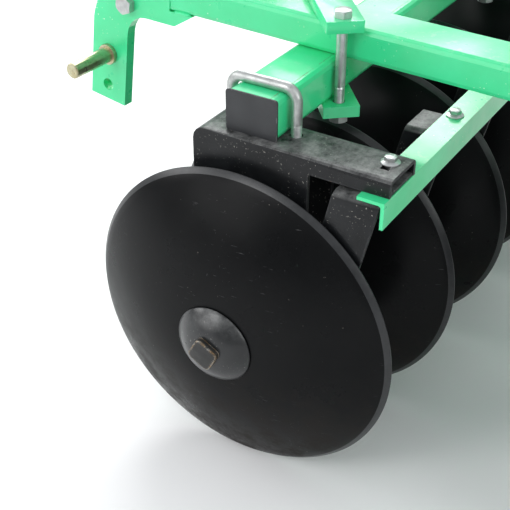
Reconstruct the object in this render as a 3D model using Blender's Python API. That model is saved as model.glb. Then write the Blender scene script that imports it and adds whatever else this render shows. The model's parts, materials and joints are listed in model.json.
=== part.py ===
"""Mounted offset disc harrow: two six-disc gangs clamped under a two-rail frame with a three-point hitch.

Units are metres, +Z is up, -Y is the direction of travel and +X is the machine's left side.
The origin is on the ground under the middle of the machine's box. Each gang is drawn once in its own
frame, with X along the gang axle and Z = 0 at the axle, and is then swung and placed under the rails.
"""
import math

import bmesh
import bpy
from mathutils import Matrix, Vector

# ---------------------------------------------------------------- driving dimensions
GAP = 0.0003                 # between pieces that touch
DISC_D = 0.510
DISC_DEPTH = 0.062           # how far the middle of a disc stands out of its rim plane
DISC_T = 0.005
DISC_FLAT_R = 0.055          # flat middle that the spools clamp
DISC_COUNT = 6
DISC_PITCH = 0.2234
DISC_SIDES = 32
DISH_POWER = 1.9             # shape of the dish, 2 would be a parabola

AXLE_R = 0.019
SPOOL_R = 0.030
SPOOL_FLANGE_R = 0.044
SPOOL_FLANGE_T = 0.012
END_CAP_R = 0.065            # domed washer on the outer disc
END_CAP_H = 0.019
END_NUT_R = 0.024
END_NUT_H = 0.007
RUNNING_GAP = 0.001          # spool in its bearing
BORE_GAP = 0.0004            # disc on its axle

BEAM_W = 0.080
BEAM_H = 0.060
BEAM_Z = 0.328               # middle of the gang beam above the axle
BEAM_END = 0.045             # beam ends this far inside the outer rim plane
TUBE_WALL = 0.005
TUBE_CORNER = 0.008
CAP_T = 0.005
CAP_PLUG = 0.020

BRACKET_W = 0.078            # bent bracket between beam and bearing
BRACKET_X = 0.064            # its middle, inside the outer rim plane
INNER_SHIFT = 0.023          # the inner bracket stands this much further in, clear of the clamp
BRACKET_T = 0.006
BRACKET_FRONT = 0.088
BRACKET_REAR = 0.220
BRACKET_LIP = 0.025          # depth of its rear arm
BRACKET_BEND = 0.009
STANDARD_REAR = 0.099
STANDARD_SHOULDER = 0.180    # height where the cheeks start to narrow
STANDARD_FOOT = 0.058        # radius of the cheeks round the axle
STANDARD_EYE = 0.040
BRACKET_FRONT_R = 0.020      # corner radii in side view
CHEEK_R = 0.012
FOOT_SHARE = 0.95
SLOT_HALF = 0.013            # half the length of the slot for the scraper bolt
BEARING_R = 0.052

UBOLT_R = 0.008
UBOLT_TAIL = 0.030
UBOLT_HOLE_R = 0.0095
UBOLT_HALF = 0.0527          # leg centre from the middle of the beam
UBOLT_BEND = 0.019
UBOLT_SHIFT = 0.010          # the U-bolt sits this far inside the bracket's middle

BAR_Y = 0.220                # rear face of the scraper bar
BAR_W = 0.040
BAR_H = 0.040
BAR_END = 0.010              # the bar ends this far inside the outer rim plane
BAR_T = 0.005
BAR_TAIL = 0.095             # the bar passes the last rim plane by this much
BLADE_X = 0.014              # middle of a blade, inside its rim plane
BLADE_T = 0.006
BLADE_W = 0.070
BLADE_TOP_Y = 0.179
BLADE_LEAN = 0.225
BLADE_BOTTOM = 0.075
BLADE_FOOT = 0.060
BLADE_SINK = 0.0005          # how far a blade is let into the bar so that the two are one solid
SCRAPER_BOLT_R = 0.0065

RAIL_W = 0.086
RAIL_H = 0.0505
RAIL_X = 0.2912              # middle of a rail from the machine's middle
RAIL_FRONT = -0.256          # from the front gang
RAIL_TAIL = 0.240            # past the rear gang
GANG_SPACING = 0.850
GANG_ANGLE = math.radians(3.2)
OUTER_RIM = 0.5525           # rim plane of the outer disc from the gang's middle

CLAMP_CLEAR_RAIL = 0.017     # bolt centre outside the rail's face
CLAMP_CLEAR_BEAM = 0.011     # bolt centre outside the beam's face
CLAMP_W = 0.055
CLAMP_T = 0.018
CLAMP_END = 0.020
CLAMP_BOLT_R = 0.008
CLAMP_HOLE_R = 0.009
CLAMP_HEAD_R = 0.0135
CLAMP_HEAD_H = 0.010
CLAMP_TAIL = 0.014

HOOK_T = 0.019
HOOK_TOP = 0.436
HOOK_FRONT = -0.444          # lowest front corner; the arm leans forward as it goes down
HOOK_ARM = ((-0.444, 0.170), (-0.3685, 0.161))
HOOK_THROAT = (-0.3445, 0.3345, 0.042)
HOOK_TONGUE = (-0.248, 0.3345, 0.008)
HOOK_TONGUE_END = -0.2104
HOOK_BREAST = (-0.4225, 0.318, 0.080)
HOOK_SHOULDER = (-0.375, 0.030)
PIN_Y = -0.395
PIN_Z = 0.2525
PIN_R = 0.0134
PIN_LEN = 0.085
PIN_COLLAR_R = 0.018
PIN_COLLAR_T = 0.007
PIN_CHAMFER = 0.002
PIN_SLACK = 0.0006           # hole over pin, at the radius
PIN_TAIL = 0.004             # the pin stands this far out of the plate's inner face
SPARE_HOLE = (-0.4032, 0.1932)
SPARE_HOLE_R = 0.011
HITCH_BOLT_Y = -0.3454
HITCH_BOLT_Z = 0.352
HITCH_BOLT_R = 0.010

MAST_RISE = 0.460            # top-link hole above the lower pins
MAST_BAR_W = 0.060
MAST_BAR_T = 0.012
MAST_FOOT = 0.336
MAST_KNEE = 0.440
MAST_NECK = 0.620
MAST_TOP_PAST = 0.035
MAST_EAR_PAST = 0.030        # ears stand this far above the hole
MAST_HALF = 0.036            # inner face of the leg's top from the middle
EAR_T = 0.010
EAR_HOLE_R = 0.010
EAR_BASE = 0.045             # ears stand this far below the hole
HEAD_BASE_T = 0.014

CROSS_W = 0.060
FRONT_CROSS_Y = -0.195
MID_CROSS_Y = 0.425
BRACE_W = 0.040
BRACE_T = 0.012
BRACE_HEAD = 0.045           # length of the brace's level end behind the mast head
BRACE_DROP = 0.040

# ---------------------------------------------------------------- values that follow
DISC_R = DISC_D / 2
GANG_LEN = DISC_PITCH * (DISC_COUNT - 1)
INNER_RIM = OUTER_RIM - GANG_LEN
BEAM_TOP = BEAM_Z + BEAM_H / 2
BEAM_BOTTOM = BEAM_Z - BEAM_H / 2
RAIL_BOTTOM = BEAM_TOP + GAP
RAIL_MID = RAIL_BOTTOM + RAIL_H / 2
RAIL_TOP = RAIL_BOTTOM + RAIL_H
BRACKET_TOP = BEAM_BOTTOM - GAP
BAR_TOP = BRACKET_TOP - BRACKET_LIP - GAP
BRACKETS = (OUTER_RIM - BRACKET_X, OUTER_RIM - BRACKET_X - DISC_PITCH * (DISC_COUNT - 2) - INNER_SHIFT)
HOOK_X = RAIL_X + RAIL_W / 2 - HOOK_T / 2
LEG_X = HOOK_X - HOOK_T / 2 - GAP - MAST_BAR_T / 2
REAR_CROSS_Y = GANG_SPACING + RAIL_TAIL - CROSS_W
Y_FRONT = HOOK_FRONT
Y_REAR = GANG_SPACING + DISC_R * math.cos(GANG_ANGLE) + OUTER_RIM * math.sin(GANG_ANGLE)
TO_GROUND = Matrix.Translation((0, -(Y_FRONT + Y_REAR) / 2, DISC_R))

# ---------------------------------------------------------------- materials
COLOURS = {
    "green_paint": ((0.035, 0.62, 0.20), 0.35, 0.0),
    "black_paint": ((0.012, 0.013, 0.015), 0.40, 0.0),
    "disc_steel": ((0.018, 0.019, 0.021), 0.38, 0.2),
    "zinc": ((0.62, 0.62, 0.60), 0.38, 1.0),
    "yellow_zinc": ((0.55, 0.47, 0.27), 0.35, 1.0),
    "cap_plastic": ((0.025, 0.025, 0.027), 0.55, 0.0),
}


def finish_material(name, kind):
    """Each node has its own Principled material in the finish of its kind."""
    colour, rough, metal = COLOURS[kind]
    material = bpy.data.materials.new(f"{name}_{kind}")
    material.use_nodes = True
    shader = material.node_tree.nodes["Principled BSDF"]
    shader.inputs["Base Color"].default_value = (*colour, 1.0)
    shader.inputs["Roughness"].default_value = rough
    shader.inputs["Metallic"].default_value = metal
    return material


# ---------------------------------------------------------------- shape helpers
def new_object(name, bm, kind, parent):
    """Turn a mesh under construction into a named node, with its faces pointing out."""
    bmesh.ops.recalc_face_normals(bm, faces=bm.faces)
    mesh = bpy.data.meshes.new(name)
    bm.to_mesh(mesh)
    bm.free()
    mesh.shade_smooth()
    mesh.set_sharp_from_angle(angle=math.radians(35))
    obj = bpy.data.objects.new(name, mesh)
    bpy.context.scene.collection.objects.link(obj)
    obj.parent = parent
    if kind:
        mesh.materials.append(finish_material(name, kind))
    return obj


def round_outline(points, segments=3):
    """Closed outline from (a, b, radius) corners, each corner an arc of its own radius."""
    out = []
    count = len(points)
    for i, (a, b, radius) in enumerate(points):
        here = Vector((a, b))
        if radius <= 0:
            out.append(here)
            continue
        back = (Vector(points[i - 1][:2]) - here).normalized()
        ahead = (Vector(points[(i + 1) % count][:2]) - here).normalized()
        half = back.angle(ahead) / 2
        centre = here + (back + ahead).normalized() * radius / math.sin(half)
        start = here + back * radius / math.tan(half) - centre
        turn = start.angle_signed(here + ahead * radius / math.tan(half) - centre)
        for k in range(segments + 1):
            arm = start.copy()
            arm.rotate(Matrix.Rotation(-turn * k / segments, 2))
            out.append(centre + arm)
    return out


def box_outline(width, height, radius):
    a, b = width / 2, height / 2
    return round_outline([(a, b, radius), (-a, b, radius), (-a, -b, radius), (a, -b, radius)], 2)


def to_axis(axis, along, a, b):
    """Place outline coordinates a, b and the length coordinate in X, Y, Z order."""
    return {"x": (along, a, b), "y": (a, along, b), "z": (a, b, along)}[axis]


def prism(outline, axis, low, high):
    """Solid with the given outline, from low to high along an axis."""
    bm = bmesh.new()
    ends = [[bm.verts.new(to_axis(axis, at, p[0], p[1])) for p in outline] for at in (low, high)]
    bm.faces.new(ends[0])
    bm.faces.new(ends[1])
    for i in range(len(outline)):
        j = (i + 1) % len(outline)
        bm.faces.new((ends[0][i], ends[0][j], ends[1][j], ends[1][i]))
    bmesh.ops.recalc_face_normals(bm, faces=bm.faces)
    return bm


def box(low, high):
    outline = [(low[0], low[1]), (high[0], low[1]), (high[0], high[1]), (low[0], high[1])]
    return prism(outline, "z", low[2], high[2])


def hollow_section(width, height, axis, low, high):
    """Rectangular tube, open at both ends."""
    inner = (width - 2 * TUBE_WALL, height - 2 * TUBE_WALL, TUBE_CORNER - TUBE_WALL)
    outlines = (box_outline(width, height, TUBE_CORNER), box_outline(*inner))
    bm = bmesh.new()
    rings = [[bm.verts.new(to_axis(axis, at, p[0], p[1])) for p in outlines[k]]
             for k, at in ((0, low), (0, high), (1, high), (1, low))]
    for k in range(4):
        ring, after = rings[k], rings[(k + 1) % 4]
        for i in range(len(ring)):
            j = (i + 1) % len(ring)
            bm.faces.new((ring[i], ring[j], after[j], after[i]))
    return bm


def lathe(profile, sides, closed):
    """Turn a profile of (x, radius) points about X; a closed profile makes a ring with a bore."""
    bm = bmesh.new()
    rings = []
    for x, radius in profile:
        if radius == 0:
            rings.append([bm.verts.new((x, 0, 0))])
            continue
        angles = [2 * math.pi * k / sides for k in range(sides)]
        rings.append([bm.verts.new((x, radius * math.cos(t), radius * math.sin(t))) for t in angles])
    pairs = list(zip(rings, rings[1:]))
    if closed:
        pairs.append((rings[-1], rings[0]))
    for ring, after in pairs:
        for k in range(sides):
            j = (k + 1) % sides
            corners = [ring[k % len(ring)], ring[j % len(ring)], after[j % len(after)], after[k % len(after)]]
            bm.faces.new(dict.fromkeys(corners))
    return bm


def cylinder(axis, centre, radius, low, high, sides=14):
    """Cylinder on an axis through centre, given as the two coordinates across that axis."""
    ring = [(centre[0] + radius * math.cos(2 * math.pi * k / sides),
             centre[1] + radius * math.sin(2 * math.pi * k / sides)) for k in range(sides)]
    return prism(ring, axis, low, high)


def sweep(path, radius, sides=10):
    """Round bar along a path that lies in one plane of constant X."""
    bm = bmesh.new()
    across = Vector((1, 0, 0))
    rings = []
    for i, point in enumerate(path):
        ahead = path[min(i + 1, len(path) - 1)] - path[max(i - 1, 0)]
        side = ahead.normalized().cross(across)
        angles = [2 * math.pi * k / sides for k in range(sides)]
        rings.append([bm.verts.new(point + (across * math.cos(t) + side * math.sin(t)) * radius)
                      for t in angles])
    for ring, after in zip(rings, rings[1:]):
        for k in range(sides):
            j = (k + 1) % sides
            bm.faces.new((ring[k], ring[j], after[j], after[k]))
    bm.faces.new(rings[0])
    bm.faces.new(rings[-1])
    return bm


def combine(obj, parts, operation):
    """Apply Booleans to a node with EXACT; the tool meshes are removed afterwards."""
    for bm in parts:
        tool = new_object("tool", bm, None, obj.parent)
        modifier = obj.modifiers.new("combine", "BOOLEAN")
        modifier.operation = operation
        modifier.solver = "EXACT"
        modifier.object = tool
        bpy.context.view_layer.update()
        solid = bpy.data.meshes.new_from_object(obj.evaluated_get(bpy.context.evaluated_depsgraph_get()))
        obj.modifiers.clear()
        obj.data = solid
        bpy.data.objects.remove(tool)
    obj.data.shade_smooth()
    obj.data.set_sharp_from_angle(angle=math.radians(35))
    return obj


def mirrored(bm, side):
    """Draw a gang or rail piece for the other hand of the machine."""
    if side < 0:
        bmesh.ops.scale(bm, vec=(-1, 1, 1), verts=bm.verts)
        bmesh.ops.reverse_faces(bm, faces=bm.faces)
    return bm


# ---------------------------------------------------------------- rolling gang
def dish(radius):
    """Outer face of a disc: flat in the middle, then an even curve down to the rim plane."""
    share = max(0.0, (radius - DISC_FLAT_R) / (DISC_R - DISC_FLAT_R))
    return DISC_DEPTH * (1 - share ** DISH_POWER)


def make_disc(name, rim_x, parent, side):
    radii = [AXLE_R + BORE_GAP, DISC_FLAT_R] + [
        DISC_FLAT_R + (DISC_R - DISC_FLAT_R) * share for share in (0.32, 0.66, 1)]
    outer = [(rim_x + dish(r), r) for r in radii]
    inner = [(rim_x + dish(r) - DISC_T, r) for r in reversed(radii)]
    return new_object(name, mirrored(lathe(outer + inner, DISC_SIDES, True), side), "disc_steel", parent)


def axle_profile():
    """Outline of the axle: end head, domed washer, a spool between each two discs, and the inner nut."""
    face = OUTER_RIM + DISC_DEPTH + GAP
    dome = [(face + END_CAP_H * math.sin(t), END_NUT_R + (END_CAP_R - END_NUT_R) * math.cos(t))
            for t in (math.radians(a) for a in (90, 60, 30, 10))]
    points = [(face + END_CAP_H + END_NUT_H, 0), (face + END_CAP_H + END_NUT_H, END_NUT_R)]
    points += dome + [(face, END_CAP_R), (face, AXLE_R)]
    for k in range(DISC_COUNT - 1):
        start = OUTER_RIM - k * DISC_PITCH + DISC_DEPTH - DISC_T - GAP
        stop = start - DISC_PITCH + DISC_T + 2 * GAP
        points += [(start, AXLE_R), (start, SPOOL_FLANGE_R), (start - SPOOL_FLANGE_T, SPOOL_R)]
        points += [(stop + SPOOL_FLANGE_T, SPOOL_R), (stop, SPOOL_FLANGE_R), (stop, AXLE_R)]
    back = INNER_RIM + DISC_DEPTH - DISC_T - GAP
    points += [(back, AXLE_R), (back, SPOOL_FLANGE_R), (back - SPOOL_FLANGE_T, SPOOL_FLANGE_R)]
    points += [(back - SPOOL_FLANGE_T, END_NUT_R), (back - 3 * SPOOL_FLANGE_T, END_NUT_R)]
    return points + [(back - 3 * SPOOL_FLANGE_T, 0)]


def make_rolling(gang, parent, side):
    for k in range(DISC_COUNT):
        make_disc(f"{gang}_disc_{k + 1}", OUTER_RIM - k * DISC_PITCH, parent, side)
    new_object(f"{gang}_axle", mirrored(lathe(axle_profile(), 16, False), side), "black_paint", parent)


# ---------------------------------------------------------------- gang carrier
def make_beam(gang, parent, side):
    low, high = -OUTER_RIM + BEAM_END, OUTER_RIM - BEAM_END
    bm = hollow_section(BEAM_W, BEAM_H, "x", low, high)
    bmesh.ops.translate(bm, vec=(0, 0, BEAM_Z), verts=bm.verts)
    new_object(f"{gang}_beam", mirrored(bm, side), "green_paint", parent)
    for end, at, out in (("outer", high, 1), ("inner", low, -1)):
        make_cap(f"{gang}_{end}_cap", "x", (0, BEAM_Z), at, out, BEAM_W, BEAM_H, parent, side)


def make_cap(name, axis, centre, at, out, width, height, parent, side=1):
    """Push-in plastic cap: a plate over the tube's end and a plug inside it."""
    slack = TUBE_WALL + GAP
    plate = box_outline(width, height, TUBE_CORNER)
    plug = box_outline(width - 2 * slack, height - 2 * slack, 0.002)
    shift = Vector(to_axis(axis, 0, *centre))
    solids = []
    for outline, near, far in ((plate, GAP, CAP_T), (plug, -CAP_PLUG, 2 * GAP)):
        bm = prism(outline, axis, *sorted((at + out * near, at + out * far)))
        bmesh.ops.translate(bm, vec=shift, verts=bm.verts)
        solids.append(mirrored(bm, side))
    combine(new_object(name, solids[0], "cap_plastic", parent), solids[1:], "UNION")


def bracket_outline():
    """Side view of the bent bracket: front corner, cheeks round the axle, and the rear arm."""
    lip = BRACKET_TOP - BRACKET_LIP
    foot = STANDARD_FOOT
    return round_outline([
        (-BRACKET_FRONT, BRACKET_TOP, BRACKET_FRONT_R), (-BRACKET_FRONT, STANDARD_SHOULDER, CHEEK_R),
        (-foot, -foot, foot * FOOT_SHARE), (foot, -foot, foot * FOOT_SHARE),
        (STANDARD_REAR, STANDARD_SHOULDER, CHEEK_R), (STANDARD_REAR, lip, CHEEK_R / 3),
        (BRACKET_REAR, lip, 0), (BRACKET_REAR, BRACKET_TOP, 0)], 4)


def make_bracket(name, x, parent, side):
    low, high = x - BRACKET_W / 2, x + BRACKET_W / 2
    bm = prism(bracket_outline(), "x", low, high)
    edges = [e for e in bm.edges if all(abs(v.co.z - BRACKET_TOP) < 1e-6 for v in e.verts)
             and abs(e.verts[0].co.x - e.verts[1].co.x) < 1e-6]
    bmesh.ops.bevel(bm, geom=edges, offset=BRACKET_BEND, segments=3, affect="EDGES", profile=0.5)
    bracket = new_object(name, mirrored(bm, side), "black_paint", parent)
    far = BRACKET_REAR + BRACKET_LIP
    inside = box((low + BRACKET_T, -far, -far), (high - BRACKET_T, far, BRACKET_TOP - BRACKET_T))
    eye = cylinder("x", (0, 0), STANDARD_EYE, low - 0.01, high + 0.01, 20)
    span = (BRACKET_TOP - 0.02, BRACKET_TOP + 0.02)
    holes = [cylinder("z", (x - UBOLT_SHIFT, sign * UBOLT_HALF), UBOLT_HOLE_R, *span) for sign in (-1, 1)]
    slot = box((x - SLOT_HALF, scraper_bolt_y() - SCRAPER_BOLT_R, span[0]),
               (x + SLOT_HALF, scraper_bolt_y() + SCRAPER_BOLT_R, span[1]))
    combine(bracket, [mirrored(tool, side) for tool in [inside, eye, *holes, slot]], "DIFFERENCE")
    ring = [(low + BRACKET_T + GAP, BEARING_R), (high - BRACKET_T - GAP, BEARING_R),
            (high - BRACKET_T - GAP, SPOOL_R + RUNNING_GAP), (low + BRACKET_T + GAP, SPOOL_R + RUNNING_GAP)]
    new_object(name.replace("bracket", "bearing"), mirrored(lathe(ring, 20, True), side), "black_paint", parent)


def scraper_bolt_y():
    return BAR_Y - BAR_W / 2 - BAR_T / 2


def make_ubolt(name, x, parent, side):
    half, top, bend = UBOLT_HALF, BEAM_TOP + UBOLT_R + GAP, UBOLT_BEND
    path = [Vector((x, -half, BRACKET_TOP - UBOLT_TAIL))]
    for sign, angles in ((-1, range(180, 89, -15)), (1, range(90, -1, -15))):
        path += [Vector((x, sign * (half - bend) + bend * math.cos(math.radians(a)),
                         top - bend + bend * math.sin(math.radians(a)))) for a in angles]
    path.append(Vector((x, half, BRACKET_TOP - UBOLT_TAIL)))
    new_object(name, mirrored(sweep(path, UBOLT_R), side), "zinc", parent)


def blade_parts(rim_x):
    """One scraper: a foot under the bar, bent down into a blade that leans towards the axle."""
    top = BAR_TOP - BAR_T + BLADE_SINK
    near = rim_x - BLADE_X
    half = BLADE_W / 2
    drop = top - BLADE_BOTTOM
    outline = [(BLADE_TOP_Y - half, top), (BLADE_TOP_Y + half, top),
               (BLADE_TOP_Y + half - drop * BLADE_LEAN, BLADE_BOTTOM),
               (BLADE_TOP_Y - half - drop * BLADE_LEAN, BLADE_BOTTOM)]
    blade = prism(outline, "x", near - BLADE_T / 2, near + BLADE_T / 2)
    foot_low = (near - BLADE_T / 2 - BLADE_FOOT, BLADE_TOP_Y - half, top - BLADE_T)
    foot_high = (near - BLADE_T / 2 + 2 * BLADE_SINK, BAR_Y - BAR_T - GAP, top)
    return [box(foot_low, foot_high), blade]


def make_scraper_bar(gang, parent, side):
    """Angle bar along the rear of the gang with one scraper for each disc."""
    front, under = BAR_Y - BAR_W, BAR_TOP - BAR_T
    outline = [(front, BAR_TOP), (front, under), (BAR_Y - BAR_T, under), (BAR_Y - BAR_T, BAR_TOP - BAR_H),
               (BAR_Y, BAR_TOP - BAR_H), (BAR_Y, BAR_TOP)]
    bar = new_object(f"{gang}_scraper_bar",
                     mirrored(prism(outline, "x", INNER_RIM - BAR_TAIL, OUTER_RIM - BAR_END), side), "green_paint", parent)
    for k in range(DISC_COUNT):
        for part in blade_parts(OUTER_RIM - k * DISC_PITCH):
            combine(bar, [mirrored(part, side)], "UNION")


def make_clamp(name, rail_x, parent, side):
    """Two straps set across a crossing of rail and beam, drawn together by two bolts."""
    reach = (RAIL_W / 2 + CLAMP_CLEAR_RAIL, BEAM_W / 2 + CLAMP_CLEAR_BEAM)
    turn = math.atan2(reach[1], reach[0])
    half = math.hypot(*reach)
    place = Matrix.Translation((rail_x, 0, 0)) @ Matrix.Rotation(turn, 4, "Z")

    def strap(bottom):
        bm = box((-half - CLAMP_END, -CLAMP_W / 2, bottom), (half + CLAMP_END, CLAMP_W / 2, bottom + CLAMP_T))
        bmesh.ops.transform(bm, matrix=place, verts=bm.verts)
        return bm

    def rod(radius, low, high, at, sides=12):
        bm = cylinder("z", (at * half, 0), radius, low, high, sides)
        bmesh.ops.transform(bm, matrix=place, verts=bm.verts)
        return bm

    top = RAIL_TOP + GAP
    under = BEAM_BOTTOM - GAP - CLAMP_T
    upper = new_object(f"{name}_upper", mirrored(strap(top), side), "green_paint", parent)
    bolts = []
    for at in (-1, 1):
        bolts.append(rod(CLAMP_BOLT_R, under - CLAMP_TAIL, top + CLAMP_T / 2, at))
        bolts.append(rod(CLAMP_HEAD_R, top + CLAMP_T / 2, top + CLAMP_T + CLAMP_HEAD_H, at, 6))
    combine(upper, [mirrored(bm, side) for bm in bolts], "UNION")
    lower = new_object(f"{name}_lower", mirrored(strap(under), side), "green_paint", parent)
    holes = [rod(CLAMP_HOLE_R, under - 0.01, under + CLAMP_T + 0.01, at) for at in (-1, 1)]
    combine(lower, [mirrored(bm, side) for bm in holes], "DIFFERENCE")


def make_gang(gang, y, side):
    """Everything that swings with one gang; side is -1 for the gang that throws the other way."""
    place = TO_GROUND @ Matrix.Translation((0, y, 0)) @ Matrix.Rotation(side * GANG_ANGLE, 4, "Z")
    carrier = bpy.data.objects.new(f"{gang}_carrier_frame", None)
    rolling = bpy.data.objects.new(f"{gang}_rolling_frame", None)
    for empty in (carrier, rolling):
        bpy.context.scene.collection.objects.link(empty)
        empty.matrix_world = place
    make_rolling(gang, rolling, side)
    make_beam(gang, carrier, side)
    for end, x in zip(("outer", "inner"), BRACKETS):
        make_bracket(f"{gang}_{end}_bracket", x, carrier, side)
        make_ubolt(f"{gang}_{end}_ubolt", x - UBOLT_SHIFT, carrier, side)
    make_scraper_bar(gang, carrier, side)
    for hand, sign in (("left", 1), ("right", -1)):
        make_clamp(f"{gang}_{hand}_clamp", sign * side * RAIL_X / math.cos(GANG_ANGLE), carrier, side)


# ---------------------------------------------------------------- frame and hitch
def make_rails(parent):
    for hand, side in (("left", 1), ("right", -1)):
        bm = hollow_section(RAIL_W, RAIL_H, "y", RAIL_FRONT, GANG_SPACING + RAIL_TAIL)
        bmesh.ops.translate(bm, vec=(side * RAIL_X, 0, RAIL_MID), verts=bm.verts)
        new_object(f"{hand}_rail", bm, "green_paint", parent)
        make_cap(f"{hand}_rail_cap", "y", (side * RAIL_X, RAIL_MID), GANG_SPACING + RAIL_TAIL, 1,
                 RAIL_W, RAIL_H, parent)


def make_cross_tubes(parent):
    reach = RAIL_X - RAIL_W / 2 - GAP
    for name, y in (("front", FRONT_CROSS_Y), ("middle", MID_CROSS_Y), ("rear", REAR_CROSS_Y)):
        bm = hollow_section(CROSS_W, RAIL_H, "x", -reach, reach)
        bmesh.ops.translate(bm, vec=(0, y, RAIL_MID), verts=bm.verts)
        new_object(f"{name}_cross_tube", bm, "green_paint", parent)


def hook_outline():
    """Side view of a hitch plate: down past the link pin, back under the end of the rail."""
    shelf = RAIL_BOTTOM - GAP
    return round_outline([
        (*HOOK_ARM[0], 0), (*HOOK_ARM[1], 0), HOOK_THROAT, HOOK_TONGUE, (HOOK_TONGUE_END, shelf, 0),
        (RAIL_FRONT - GAP, shelf, 0), (RAIL_FRONT - GAP, HOOK_TOP, 0),
        (HOOK_SHOULDER[0], HOOK_TOP, HOOK_SHOULDER[1]), HOOK_BREAST], 5)


def make_hooks(parent):
    for hand, side in (("left", 1), ("right", -1)):
        low, high = sorted((side * (HOOK_X - HOOK_T / 2), side * (HOOK_X + HOOK_T / 2)))
        hook = new_object(f"{hand}_hitch_plate", prism(hook_outline(), "x", low, high), "green_paint", parent)
        span = (low - 0.01, high + 0.01)
        holes = [cylinder("x", (PIN_Y, PIN_Z), PIN_R + PIN_SLACK, *span),
                 cylinder("x", SPARE_HOLE, SPARE_HOLE_R, *span),
                 cylinder("x", (HITCH_BOLT_Y, HITCH_BOLT_Z), HITCH_BOLT_R, *span)]
        combine(hook, holes, "DIFFERENCE")
        face = HOOK_X + HOOK_T / 2 + GAP
        shank = [(face + PIN_COLLAR_T + PIN_LEN, 0), (face + PIN_COLLAR_T + PIN_LEN, PIN_R - PIN_CHAMFER),
                 (face + PIN_COLLAR_T + PIN_LEN - PIN_CHAMFER, PIN_R), (face + PIN_COLLAR_T, PIN_R),
                 (face + PIN_COLLAR_T, PIN_COLLAR_R), (face, PIN_COLLAR_R), (face, PIN_R),
                 (face - HOOK_T - PIN_TAIL, PIN_R), (face - HOOK_T - PIN_TAIL, 0)]
        bm = mirrored(lathe(shank, 18, False), side)
        bmesh.ops.translate(bm, vec=(0, PIN_Y, PIN_Z), verts=bm.verts)
        new_object(f"{hand}_link_pin", bm, "yellow_zinc", parent)


def leg_outline():
    """Front view of a bent flat bar from the hitch plate up to the mast head."""
    t = MAST_BAR_T / 2
    top = MAST_HALF + GAP + t
    line = [(LEG_X, MAST_FOOT), (LEG_X, MAST_KNEE), (top, MAST_NECK), (top, mast_hole_z() + MAST_TOP_PAST)]
    slope = math.atan2(LEG_X - top, MAST_NECK - MAST_KNEE) / 2
    lift = t * math.tan(slope)
    outer = [(x + t, z + s * lift) for (x, z), s in zip(line, (0, 1, 1, 0))]
    inner = [(x - t, z - s * lift) for (x, z), s in zip(line, (0, 1, 1, 0))]
    return outer + inner[::-1]


def mast_hole_z():
    return PIN_Z + MAST_RISE


def make_mast(parent):
    y0, y1 = HITCH_BOLT_Y - MAST_BAR_W / 2, HITCH_BOLT_Y + MAST_BAR_W / 2
    for hand, side in (("left", 1), ("right", -1)):
        leg = new_object(f"{hand}_mast_leg", mirrored(prism(leg_outline(), "y", y0, y1), side),
                         "green_paint", parent)
        bolt_hole = cylinder("x", (HITCH_BOLT_Y, HITCH_BOLT_Z), HITCH_BOLT_R,
                             *sorted((side * (LEG_X - 0.02), side * (LEG_X + 0.02))))
        link_hole = cylinder("x", (HITCH_BOLT_Y, mast_hole_z()), EAR_HOLE_R,
                             *sorted((side * (MAST_HALF - EAR_T / 2), side * (MAST_HALF + 2 * MAST_BAR_T))))
        combine(leg, [bolt_hole, link_hole], "DIFFERENCE")
    base = mast_hole_z() - EAR_BASE
    ear_in = MAST_HALF - EAR_T
    outline = [(-MAST_HALF, base), (MAST_HALF, base), (MAST_HALF, mast_hole_z() + MAST_EAR_PAST),
               (ear_in, mast_hole_z() + MAST_EAR_PAST), (ear_in, base + HEAD_BASE_T), (-ear_in, base + HEAD_BASE_T),
               (-ear_in, mast_hole_z() + MAST_EAR_PAST), (-MAST_HALF, mast_hole_z() + MAST_EAR_PAST)]
    head = new_object("mast_head", prism(outline, "y", y0, y1), "green_paint", parent)
    hole = cylinder("x", (HITCH_BOLT_Y, mast_hole_z()), EAR_HOLE_R, -MAST_HALF - 0.01, MAST_HALF + 0.01)
    combine(head, [hole], "DIFFERENCE")


def make_brace(parent):
    """Flat bar from the back of the mast head down to the middle cross tube."""
    t = BRACE_T / 2
    back = HITCH_BOLT_Y + MAST_BAR_W / 2 + GAP
    head_z = mast_hole_z() - EAR_BASE
    foot = RAIL_TOP + GAP
    slope = math.atan2(head_z - foot, MID_CROSS_Y - back)
    lean = (math.sin(slope) * t, math.cos(slope) * t)
    y_start, y_end = back + BRACE_HEAD, MID_CROSS_Y - CROSS_W / 2
    outline = [(back, head_z + HEAD_BASE_T), (back, head_z), (y_start - 2 * lean[0], head_z - BRACE_DROP),
               (y_end - 2 * lean[0], foot), (MID_CROSS_Y + CROSS_W / 2, foot),
               (MID_CROSS_Y + CROSS_W / 2, foot + BRACE_T), (y_end + lean[0], foot + BRACE_T + lean[1]),
               (y_start, head_z + lean[1])]
    bm = prism(outline, "x", -BRACE_W / 2, BRACE_W / 2)
    new_object("mast_brace", bm, "green_paint", parent)


def main():
    for obj in list(bpy.data.objects):
        bpy.data.objects.remove(obj)
    frame = bpy.data.objects.new("frame_origin", None)
    bpy.context.scene.collection.objects.link(frame)
    frame.matrix_world = TO_GROUND
    make_rails(frame)
    make_cross_tubes(frame)
    make_hooks(frame)
    make_mast(frame)
    make_brace(frame)
    make_gang("front", 0.0, 1)
    make_gang("rear", GANG_SPACING, -1)


main()
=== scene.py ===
# %% [markdown]
# # Dressing a disc harrow
# This lesson takes the plain working model of a mounted disc harrow and gives it its real surfaces:
# thick glossy green paint on the frame, black paint that is chipped and dusty on the gangs, with a
# painted sky sheen mixed into the upward faces of both paints, dark discs with a ground edge, and zinc
# bolts with real threads. Everything is placed from the model itself.

# %% Load the frame
import json
import math
import random

import bmesh
import bpy
from mathutils import Matrix, Vector


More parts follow.
